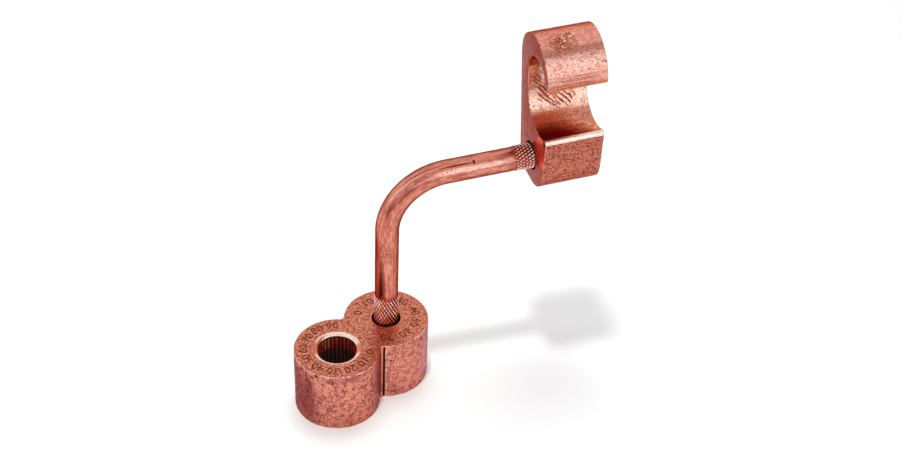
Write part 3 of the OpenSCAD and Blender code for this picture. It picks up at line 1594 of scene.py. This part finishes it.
@dataclass(frozen=True)
class HookFinish:
    """The finishes of the hook, several of them lit and shaded copies of one copper that carry painted
    highlights and painted shade.
    """

    # The arch is painted pale: a painted highlight on its front
    arch: Copper = Copper(
        "arch",
        bright=(246, 202, 188),
        plain=(229, 170, 154),
        dull=(194, 116, 98),
        blotch=1250.0,
        grain=2800.0,
        draw=(0.6, 1.0, 1.0),
        stretch=(60.0, 1100.0, 1100.0),
        line_cover=0.2,
        pit_cover=0.2,
        pit_scale=2000.0,
        pit_colour=(176, 92, 76),
        charted=True,
        edge=(176, 124, 112),
        stains=(
            # Painted shade: the arch's top is painted a deeper orange and its back darker
            Stain((0, 0, 57.6), (1000, 1000, 10), (254, 168, 150), 0.92, 0.25, 0.86),
            Stain((0, -13, 42), (1000, 16, 18), (208, 122, 104), 0.9, 0.5, 0.7),
            Stain((0, 10, 47.8), (1000, 3, 1.6), (176, 88, 64), 0.6, 1.0),
            Stain((7.5, 6.6, 49.4), (6, 5, 4), (188, 98, 60), 0.8, 2.2),
        ),
    )
    lip: Copper = Copper(
        "lip",
        bright=(250, 200, 182),
        plain=(238, 160, 138),
        dull=(196, 104, 79),
        dulling=0.2,
        blotch=800.0,
        grain=2300.0,
        stretch=(25.0, 1300.0, 1300.0),
        line_cover=0.8,
        line_colour=(170, 80, 56),
        charted=True,
        # Painted shade: the lip's lower edge is painted a darker orange-brown
        stains=(Stain((0, 15.1, 36), (1000, 3, 2.2), (196, 98, 68), 0.75, 0.6),),
    )
    # The block is painted a darker copper than the arch: partly painted shade, as its front leans down;
    # its tool lines and pits are the metal's own
    block: Copper = Copper(
        "block",
        bright=(230, 144, 123),
        plain=(186, 102, 85),
        dull=(116, 48, 38),
        dulling=0.95,
        blotch=1700.0,
        grain=3200.0,
        draw=(0.7, 1.0, 1.0),
        stretch=(90.0, 1400.0, 1400.0),
        line_cover=0.45,
        pit_cover=0.14,
        pit_scale=2000.0,
        relief=0.7,
        charted=True,
    )
    end: Copper = Copper(
        "sawn end",
        bright=(170, 86, 81),
        plain=(148, 66, 62),
        dull=(118, 46, 44),
        stretch=(900.0, 900.0, 40.0),
        edge=(230, 201, 198),
        pit_cover=0.03,
        shine=0.24,
        matt=0.36,
        charted=True,
        # Painted reflection: an orange patch on the sawn end beside the rod, where the rod's copper shows
        # in it
        stains=(Stain((0, 9.6, 7.8), (4, 5.6, 7.4), (244, 106, 72), 0.97, 0.4, 0.6),),
    )
    hollow: Copper = Copper(
        "hollow",
        bright=(254, 190, 160),
        plain=(250, 158, 118),
        dull=(212, 100, 72),
        dulling=0.6,
        blotch=700.0,
        grain=2200.0,
        stretch=(60.0, 900.0, 900.0),
        charted=True,
        stains=(
            # Painted shade and light: the hollow is painted deep red near the brow and lighter mauve
            # towards its far end
            Stain((3, 9.5, 13.6), (19, 8.5, 2.6), (150, 32, 26), 0.95, 0.4),
            Stain((19, 3, 15.5), (7, 6, 3), (206, 130, 112), 0.6, 1.2),
        ),
    )
    # The scored wall is painted pale pink: a painted highlight; its scoring is the metal's own
    wall: Copper = Copper(
        "scored wall",
        bright=(253, 221, 205),
        plain=(241, 191, 172),
        dull=(214, 142, 118),
        stretch=(50.0, 900.0, 900.0),
        line_cover=0.2,
        charted=True,
        stains=(
            Stain((1.5, -4.2, 31), (5, 4, 7), (190, 96, 66), 0.85, 1.2),
            Stain((7, -3, 23), (6, 6, 4), (214, 130, 102), 0.5, 1.8),
        ),
    )
    throat: Copper = Copper(
        "throat",
        bright=(226, 136, 98),
        plain=(194, 96, 64),
        dull=(128, 54, 38),
        pit_cover=0.3,
        charted=True,
    )
    # The brow is painted near white: a painted highlight along its round
    brow: Copper = Copper(
        "brow",
        bright=(255, 244, 234),
        plain=(252, 222, 206),
        dull=(232, 170, 146),
        dulling=0.35,
        line_cover=0.0,
        pit_cover=0.02,
        shine=0.2,
        matt=0.3,
        charted=True,
        # Painted shade: a darker orange-brown line on the brow's side towards the hollow
        stains=(Stain((0, 12.4, 15), (1000, 0.8, 0.8), (216, 118, 82), 0.9, 0.4),),
    )
    rim: Copper = Copper(
        "hook rim",
        bright=(240, 172, 148),
        plain=(216, 132, 106),
        dull=(150, 68, 50),
        dulling=0.9,
        blotch=300.0,
        line_cover=0.0,
        shine=0.2,
        edge=(110, 52, 46),
        charted=True,
    )
    score: Copper = Copper("score", bright=(204, 104, 74), plain=(160, 66, 46), dull=(96, 34, 26))
    streak: Copper = Copper("streak", bright=(212, 122, 94), plain=(178, 88, 62), dull=(132, 54, 36))
    scuff: Copper = Copper("scuff", bright=(206, 122, 86), plain=(150, 70, 42), dull=(96, 38, 26))
    scrape: Copper = Copper("scrape", bright=(255, 236, 220), plain=(250, 206, 184), dull=(222, 150, 118))


class HookZone(Enum):
    """The zones of the hook's skin, in the order of its material slots."""

    ARCH = 0
    RIM = 1
    END = 2
    BLOCK = 3
    HOLLOW = 4
    WALL = 5
    BROW = 6
    LIP = 7
    THROAT = 8


@dataclass
class HookTap:
    """The extruded hook that is crimped over the cable."""

    layout: Layout
    effects: Effects
    finish: HookFinish = HookFinish()
    width: float = 21.6 * MM
    back: float = 11.3 * MM
    wall: float = 7.1 * MM
    drop: float = 10.6 * MM
    front: float = 12.6 * MM
    lean: float = math.radians(8.0)
    toe_r: float = 11.2 * MM
    brow_r: float = 1.3 * MM
    floor_r: float = 11.8 * MM
    floor_rise: float = 13.9 * MM
    throat_r: float = 9.0 * MM
    throat_rise: float = 33.8 * MM
    crown: float = 7.5 * MM
    lip: float = 1.3 * MM
    lip_end: float = 2.2 * MM
    edge: float = 0.22 * MM
    grain: float = 0.7 * MM
    lip_line: float = 16.0
    # Height on the round floor above which it takes the pale wall's painted highlight
    pale_line: float = 16.8 * MM
    brow_slack: float = 1.05
    round_slack: float = 1.01
    wall_slack: float = 0.1 * MM
    smooth_under: float = 32.0
    score_w: float = 0.62 * MM
    score_lift: float = 0.13 * MM
    score_inset: float = 0.8 * MM
    score_pair: Point = (-0.45, 0.45)
    score_stray: float = 0.2
    score_first: Point = (0.0, 0.2)
    score_last: Point = (0.8, 1.0)
    score_steps: int = 10
    strokes: tuple[tuple[Point, Point], ...] = (
        ((1.5, 28.5), (12.5, 16.8)),
        ((2.5, 25.5), (8.0, 20.2)),
        ((2.0, 24.2), (12.5, 16.8)),
        ((3.0, 27.5), (7.0, 22.8)),
        ((11.0, 21.8), (15.2, 17.6)),
        ((13.7, 21.2), (15.7, 18.0)),
        ((8.7, 21.8), (13.0, 17.4)),
        ((6.0, 25.5), (11.5, 19.8)),
        ((1.4, 31.5), (4.5, 27.0)),
        ((10.0, 24.0), (14.5, 19.5)),
        ((1.2, 30.0), (6.0, 24.8)),
        ((4.5, 26.5), (9.8, 20.8)),
        ((4.0, 23.2), (9.5, 18.6)),
        ((7.5, 24.6), (13.5, 18.6)),
        ((12.2, 22.8), (16.4, 18.6)),
        ((15.0, 22.2), (17.0, 19.4)),
        ((3.2, 22.0), (6.0, 19.8)),
    )
    streak_w: float = 0.42 * MM
    streak_angles: tuple[float, ...] = (-2.0, 1.5, 4.5, 8.5, 11.0, 15.0)
    streak_wobble: float = 0.25
    streak_first: Point = (0.4, 2.5)
    streak_last: Point = (0.4, 4.0)
    streak_lift: Point = (0.0, 0.1)
    streak_steps: int = 16
    patch_start: Point = (4.6, 57.0)
    patch_end: Point = (12.4, 87.0)
    patch_spread: Point = (1.2, 8.0)
    scuff_count: int = 24
    scuff_w: float = 0.5 * MM
    scrape_count: int = 16
    scrape_w: float = 0.6 * MM
    scratch_run: Point = (0.6, 2.0)
    scratch_ways: tuple[int, ...] = (-30, 25, 60)
    scratch_stray: float = 15.0
    scratch_sink: float = 0.07 * MM
    scratch_steps: int = 4
    small_climb: float = -35.0
    small_marks: tuple[Spot, ...] = (
        (16.0, 44, 1.0),
        (17.0, 45.5, 0.8),
        (20.3, 31, 1.6),
        (12.8, 49, 0.8),
    )

    def __post_init__(self) -> None:
        """Works out the centres of the rounds on the hook's end face."""
        self.inner = self.wall - self.back
        self.floor_c: Point = (self.inner + self.floor_r, self.floor_rise + self.floor_r)
        self.throat_c: Point = (self.inner + self.throat_r, self.throat_rise)
        self.arch_r = (self.wall + 2 * self.throat_r + self.lip) / 2
        top = self.throat_rise + self.throat_r + self.crown
        self.arch_c: Point = (self.arch_r - self.back, top - self.arch_r)
        self.lip_v = self.throat_rise + self.lip_end
        slope = math.tan(self.lean)
        toe_v = self.toe_r - self.drop
        self.toe_c: Point = (self.front + toe_v * slope - self.toe_r / math.cos(self.lean), toe_v)
        start = self.front - self.brow_r / math.cos(self.lean) - self.floor_c[0]
        reach = self.floor_r + self.brow_r
        a = 1 + slope**2
        b = start * slope - self.floor_c[1]
        c = start**2 + self.floor_c[1] ** 2 - reach**2
        brow_v = (-b - math.sqrt(b**2 - a * c)) / a
        self.brow_c: Point = (start + slope * brow_v + self.floor_c[0], brow_v)

    def build(self) -> Obj:
        """Makes the hook.

        Returns:
            The finished piece.
        """
        layout = self.layout
        obj = self.draw_section()
        tool = seat_tool(layout, self.effects, layout.hook_seat)
        set_down(tool, Matrix.Translation(layout.hook_face) @ layout.hook_turn)
        carve(obj, tool)
        scratches = join([self.scores(), self.streaks(), *self.scuffs()], "scratches")
        carve(obj, scratches, crossing=True)
        board = layout.hook_board
        lay_out(obj, lambda place: Vector(((place - board.origin).dot(layout.leg), *board.read(place))))
        smooth(obj, self.smooth_under)
        return obj

    def draw_section(self) -> Obj:
        """Draws the hook's section, pushes it out to its width and breaks its edges.

        Returns:
            The hook, with no hole yet.
        """
        board = self.layout.hook_board
        grain = self.grain
        lean = self.lean
        pen = Pen("hook_body", board, (-self.back, -self.drop))
        pen.line((self.toe_c[0], -self.drop), parts=4)
        pen.arc(self.toe_c, math.pi / 2 - lean, grain)
        out = (math.cos(lean), -math.sin(lean))
        brow = (self.brow_c[0] + self.brow_r * out[0], self.brow_c[1] + self.brow_r * out[1])
        pen.line(brow, parts=12)
        to_floor = math.atan2(self.floor_c[1] - self.brow_c[1], self.floor_c[0] - self.brow_c[0])
        pen.arc(self.brow_c, to_floor + lean, grain / 3)
        pen.arc(self.floor_c, -to_floor, grain)
        pen.line((self.inner, self.throat_rise), parts=10)
        lip_turn = math.asin(self.lip_end / self.throat_r)
        pen.arc(self.throat_c, lip_turn - math.pi, grain)
        outer_turn = math.asin((self.lip_v - self.arch_c[1]) / self.arch_r)
        lip_out = self.arch_c[0] + self.arch_r * math.cos(outer_turn)
        pen.line((lip_out, self.lip_v), parts=2)
        pen.arc(self.arch_c, math.pi - outer_turn, grain)
        pen.line((-self.back, -self.drop), parts=40)
        leg = self.layout.leg
        obj = pen.push(self.width * leg)
        self.lay_finishes(obj)
        pick(obj, Pick.EDGE, lambda place, way: abs(way.dot(leg)) < SQUARE_UNDER)
        bpy.ops.mesh.bevel(
            offset=self.edge, segments=2, profile=0.6, material=HookZone.RIM.value, affect="EDGES"
        )
        middle = board.origin.dot(leg) + self.width / 2
        pick(
            obj,
            Pick.EDGE,
            lambda place, way: abs(way.dot(leg)) > ALONG_OVER and abs(place.dot(leg) - middle) < MM,
        )
        bpy.ops.mesh.subdivide(number_cuts=30)
        roughen(
            obj,
            lambda place, normal: abs(normal.dot(leg)) < SLANT_UNDER,
            height=0.09 * MM,
            grain=2.6 * MM,
        )
        return obj

    def zone(self, spot: Point, front_facing: float) -> HookZone:
        """Tells which zone of the skin a place on the section belongs to.

        Args:
            spot: The place on the end face's board.
            front_facing: How much the skin faces the front there.

        Returns:
            The zone.
        """
        across, up = spot
        if math.dist(spot, self.brow_c) < self.brow_r * self.brow_slack:
            return HookZone.BROW
        if up < self.floor_c[1] and math.dist(spot, self.floor_c) < self.floor_r * self.round_slack:
            return HookZone.WALL if up > self.pale_line else HookZone.HOLLOW
        if up > self.throat_rise and math.dist(spot, self.throat_c) < self.throat_r * self.round_slack:
            return HookZone.THROAT
        if abs(across - self.inner) < self.wall_slack:
            return HookZone.WALL
        if up < self.floor_c[1] or front_facing < -ALONG_OVER:
            return HookZone.BLOCK
        angle = math.degrees(math.atan2(up - self.arch_c[1], across - self.arch_c[0]))
        return HookZone.LIP if angle < self.lip_line else HookZone.ARCH

    def lay_finishes(self, obj: Obj) -> None:
        """Gives each face of the pushed-out section its finish.

        Args:
            obj: The hook.
        """
        finish = self.finish
        kinds = {
            HookZone.ARCH: finish.arch,
            HookZone.RIM: finish.rim,
            HookZone.END: finish.end,
            HookZone.BLOCK: finish.block,
            HookZone.HOLLOW: finish.hollow,
            HookZone.WALL: finish.wall,
            HookZone.BROW: finish.brow,
            HookZone.LIP: finish.lip,
            HookZone.THROAT: finish.throat,
        }
        self.effects.dress(obj, *(kinds[zone] for zone in HookZone))
        board = self.layout.hook_board
        for face in obj.data.polygons:
            if abs(face.normal.dot(self.layout.leg)) > ALONG_OVER:
                face.material_index = HookZone.END.value
            else:
                zone = self.zone(board.read(face.center), face.normal.dot(board.across))
                face.material_index = zone.value

    def on_wall(self, along: float, height: float, lift: float) -> Vector:
        """Gives a point over the channel's back wall or the upper part of its round floor.

        Args:
            along: How far from the hook's near end.
            height: How far above the rod's axis.
            lift: How far in front of the metal.

        Returns:
            The point in space.
        """
        across = self.inner + lift
        if height < self.floor_c[1]:
            fall = self.floor_c[1] - height
            radius = self.floor_r - lift
            across = self.floor_c[0] - math.sqrt(max(0.0, radius**2 - fall**2))
        return self.layout.hook_board.at(across, height, -along)

    def on_arch(self, along: float, angle: float, lift: float) -> Vector:
        """Gives a point on the outside of the arch, or over it.

        Args:
            along: How far from the hook's near end.
            angle: The angle up from the arch's front.
            lift: How far over the metal.

        Returns:
            The point in space.
        """
        reach = self.arch_r + lift
        across = self.arch_c[0] + reach * math.cos(angle)
        return self.layout.hook_board.at(across, self.arch_c[1] + reach * math.sin(angle), -along)

    def scores(self) -> Obj:
        """Makes the tool for the combed scratches that run down the channel's back wall.

        Returns:
            The tool.
        """
        dice = random.Random(3)
        paths = []
        for start, end in self.strokes:
            for side in self.score_pair:
                shift = side + dice.uniform(-self.score_stray, self.score_stray)
                first = dice.uniform(*self.score_first)
                last = dice.uniform(*self.score_last)
                path = []
                for share in shares(self.score_steps):
                    along, height = between(start, end, first + (last - first) * share)
                    inset = max((along + shift) * MM, self.score_inset)
                    path.append(self.on_wall(inset, (height + shift) * MM, self.score_lift))
                paths.append(path)
        return gouges("scores", paths, self.score_w, self.effects.material(self.finish.score))

    def streaks(self) -> Obj:
        """Makes the tool for the lines that the die drew along the lip.

        Returns:
            The tool.
        """
        dice = random.Random(11)
        paths = []
        for angle in self.streak_angles:
            begin = dice.uniform(*self.streak_first) * MM
            end = self.width - dice.uniform(*self.streak_last) * MM
            path = []
            for share in shares(self.streak_steps):
                along = begin + (end - begin) * share
                turn = math.radians(angle + dice.uniform(-self.streak_wobble, self.streak_wobble))
                path.append(self.on_arch(along, turn, dice.uniform(*self.streak_lift) * MM))
            paths.append(path)
        return gouges("streaks", paths, self.streak_w, self.effects.material(self.finish.streak))

    def scuffs(self) -> list[Obj]:
        """Makes the tools for the scuffed patch and the small marks on the arch.

        Returns:
            The tools, one for the brown scratches and one for the bright ones.
        """
        dice = random.Random(5)
        brown = [self.patch_scratch(dice) for _ in range(self.scuff_count)]
        brown += [self.arch_scratch(*mark, self.small_climb) for mark in self.small_marks]
        bright = [self.patch_scratch(dice) for _ in range(self.scrape_count)]
        return [
            gouges("scuffs", brown, self.scuff_w, self.effects.material(self.finish.scuff)),
            gouges("scrapes", bright, self.scrape_w, self.effects.material(self.finish.scrape)),
        ]

    def patch_scratch(self, dice: random.Random) -> list[Vector]:
        """Draws one scratch of the scuffed patch, which lies slantwise over the arch.

        Args:
            dice: Where its stray values come from.

        Returns:
            Its points.
        """
        wide, high = self.patch_spread
        along, angle = between(self.patch_start, self.patch_end, dice.random())
        along += dice.uniform(-wide, wide)
        angle += dice.uniform(-high, high)
        run = dice.uniform(*self.scratch_run)
        climb = dice.choice(self.scratch_ways)
        climb += dice.uniform(-self.scratch_stray, self.scratch_stray)
        return self.arch_scratch(along, angle, run, climb)

    def arch_scratch(self, along: float, angle: float, run: float, climb: float) -> list[Vector]:
        """Draws one short scratch on the outside of the arch, in millimetres and degrees.

        Args:
            along: Where it begins, from the hook's near end.
            angle: Where it begins, as an angle up from the arch's front.
            run: How long it is.
            climb: Which way it goes, up from the hook's length.

        Returns:
            Its points.
        """
        way = math.radians(climb)
        path = []
        for share in shares(self.scratch_steps):
            gone = run * MM * share
            turn = math.radians(angle) + gone * math.sin(way) / self.arch_r
            path.append(self.on_arch(along * MM + gone * math.cos(way), turn, -self.scratch_sink))
        return path


# The studio


@dataclass(frozen=True)
class SoftBox:
    """A square or oblong lamp with a soft face."""

    name: str
    place: Spot
    target: Spot
    wide: float
    high: float
    power: float
    mirrored: bool = True

    def hang(self) -> None:
        """Hangs the lamp in its place."""
        data = bpy.data.lights.new(self.name, "AREA")
        data.shape = "RECTANGLE"
        data.size = self.wide
        data.size_y = self.high
        data.energy = self.power
        lamp = bpy.data.objects.new(self.name, data)
        bpy.context.scene.collection.objects.link(lamp)
        lamp.visible_glossy = self.mirrored
        lamp.location = self.place
        way = Vector(self.target) - Vector(self.place)
        lamp.rotation_euler = way.to_track_quat("-Z", "Y").to_euler()


@dataclass
class Studio:
    """The pale floor, the soft light and the camera at the photograph's angle."""

    azimuth: float = math.radians(-18.52)
    elevation: float = math.radians(38.1)
    roll: float = math.radians(2.52)
    distance: float = 0.66098
    aim: Spot = (0.07133, 0.08983, 0.0)
    focal_px: float = 1539.46
    image_w: float = 900.0
    sensor: float = 36.0
    floor_size: float = 4.0
    floor_glow: float = 0.06
    floor_tone: float = 0.8
    fill: float = 0.40
    horizon: float = 1.0
    zenith: float = 0.88
    boxes: tuple[SoftBox, ...] = (
        SoftBox(
            "overhead box",
            place=(-0.035, -0.060, 0.86),
            target=(0.05, 0.01, 0.05),
            wide=0.07,
            high=0.07,
            power=3.4,
            mirrored=False,
        ),
        SoftBox(
            "back box",
            place=(0.112, 0.309, 1.18),
            target=(0.011, 0.006, 0.0),
            wide=0.50,
            high=0.50,
            power=7.4,
            mirrored=False,
        ),
        SoftBox(
            "front box",
            place=(0.36, -0.78, 0.48),
            target=(0.06, 0.0, 0.09),
            wide=0.70,
            high=0.80,
            power=0.75,
        ),
    )

    def build(self) -> None:
        """Sets up the whole studio."""
        self.set_camera()
        self.lay_floor()
        for box in self.boxes:
            box.hang()
        self.paint_world()

    def set_camera(self) -> None:
        """Makes the camera and points it as the photograph was taken."""
        turn, rise = self.azimuth, self.elevation
        back = Vector((math.sin(turn) * math.cos(rise), -math.cos(turn) * math.cos(rise), math.sin(rise)))
        level = Vector((math.cos(turn), math.sin(turn), 0.0))
        upright = back.cross(level)
        right = math.cos(self.roll) * level + math.sin(self.roll) * upright
        up = back.cross(right)
        data = bpy.data.cameras.new("camera")
        data.sensor_width = self.sensor
        data.lens = self.sensor * self.focal_px / self.image_w
        data.clip_start = 0.01
        data.clip_end = 20.0
        camera = bpy.data.objects.new("camera", data)
        bpy.context.scene.collection.objects.link(camera)
        frame = Matrix((right, up, back)).transposed().to_4x4()
        camera.matrix_world = Matrix.Translation(Vector(self.aim) + self.distance * back) @ frame
        bpy.context.scene.camera = camera

    def seen_ray(self, wiring: Wiring) -> Socket:
        """Tells the rays that show the background from those that only light the object.

        Args:
            wiring: The tree that needs to know.

        Returns:
            A value of 1 for camera, glossy and transmission rays.
        """
        path = wiring.node("ShaderNodeLightPath").outputs
        mirrored = wiring.maths("MAXIMUM", path["Is Glossy Ray"], path["Is Transmission Ray"])
        return wiring.maths("MAXIMUM", path["Is Camera Ray"], mirrored)

    def lay_floor(self) -> None:
        """Lays the pale floor, which shows white but keeps the object's shadow."""
        clear_bench()
        bpy.ops.mesh.primitive_plane_add(size=self.floor_size, location=(0, 0, 0))
        floor = bpy.context.object
        floor.name = "floor"
        material = bpy.data.materials.new("pale floor")
        material.use_nodes = True
        tree = material.node_tree
        wiring = Wiring(tree)
        tree.nodes.remove(tree.nodes["Principled BSDF"])
        matt = wiring.node("ShaderNodeBsdfDiffuse", {"Color": (self.floor_tone,) * 3})
        strength = wiring.maths("MULTIPLY", self.seen_ray(wiring), self.floor_glow)
        glow = wiring.node("ShaderNodeEmission", {"Color": (1.0, 1.0, 1.0), "Strength": strength})
        both = wiring.node("ShaderNodeAddShader", {0: matt.outputs[0], 1: glow.outputs[0]})
        wiring.feed(tree.nodes["Material Output"].inputs["Surface"], both.outputs[0])
        floor.data.materials.append(material)

    def paint_world(self) -> None:
        """Paints the surroundings, white where they are seen and softer where they only light."""
        world = bpy.data.worlds.new("studio")
        bpy.context.scene.world = world
        world.use_nodes = True
        tree = world.node_tree
        wiring = Wiring(tree)
        tree.nodes.remove(tree.nodes["Background"])
        fill = wiring.node("ShaderNodeBackground", {"Color": (1.0, 1.0, 1.0), "Strength": self.fill})
        way = wiring.node("ShaderNodeTexCoord").outputs["Generated"]
        height = wiring.node("ShaderNodeSeparateXYZ", {0: way}).outputs["Z"]
        strength = wiring.ease(height, low=0.2, high=0.95, start=self.horizon, end=self.zenith)
        shown = wiring.node("ShaderNodeBackground", {"Color": (1.0, 1.0, 1.0), "Strength": strength})
        both = wiring.node(
            "ShaderNodeMixShader", {0: self.seen_ray(wiring), 1: fill.outputs[0], 2: shown.outputs[0]}
        )
        wiring.feed(tree.nodes["World Output"].inputs["Surface"], both.outputs[0])


def place(obj: Obj, piece: Piece, slot: str) -> None:
    """Puts a finished piece in its node's stead.

    Args:
        obj: The piece.
        piece: Which node it stands for.
        slot: The material slot of the record; not used.
    """
    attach(obj, "root")
    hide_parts(piece.value)
    LOG.info("%s: %d faces", obj.name, len(obj.data.polygons))


def main() -> None:
    """Builds the connector and its studio."""
    logging.basicConfig(level=logging.INFO)
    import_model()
    bpy.context.scene.view_settings.view_transform = "Standard"
    layout = Layout()
    effects = Effects()
    place(RodSleeve(layout, effects).build(), Piece.SLEEVE, "sleeve_copper")
    place(LinkRod(layout, effects).build(), Piece.ROD, "rod_copper")
    place(HookTap(layout, effects).build(), Piece.HOOK, "hook_copper")
    Studio().build()


if __name__ == "__main__":
    main()
